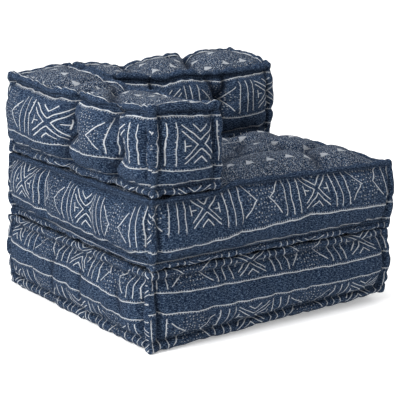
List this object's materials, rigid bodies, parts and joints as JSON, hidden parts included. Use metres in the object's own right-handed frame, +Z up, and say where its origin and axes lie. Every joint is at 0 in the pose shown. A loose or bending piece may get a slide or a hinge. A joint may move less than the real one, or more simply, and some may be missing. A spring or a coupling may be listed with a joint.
{
  "type": "corner floor seat of stacked cushion pads",
  "caption": "Low corner seat of rolled-edge filled pads: a base pad, a tufted seat pad, an arm bolster along the left side and a back bolster along the rear.",
  "frame": {"origin": "middle of the outline, on the floor under the base pad", "axes": "+Z up, -Y towards the open front, +X towards the open right side; the arm pad lies along the left side and the back pad along the rear"},
  "size_m": [0.874, 0.833, 0.6863],
  "materials": {
    "base_cloth": "coarse indigo cotton weave with a white line print",
    "seat_cloth": "coarse indigo cotton weave with a white line print, speckled on top",
    "arm_cloth": "coarse indigo cotton weave with a white line print, speckled on top",
    "back_cloth": "coarse indigo cotton weave with a white line print, speckled on top"
  },
  "bodies": {
    "root": {"base_pad": "base_cloth", "seat_pad": "seat_cloth", "arm_pad": "arm_cloth", "back_pad": "back_cloth"}
  },
  "joints": []
}
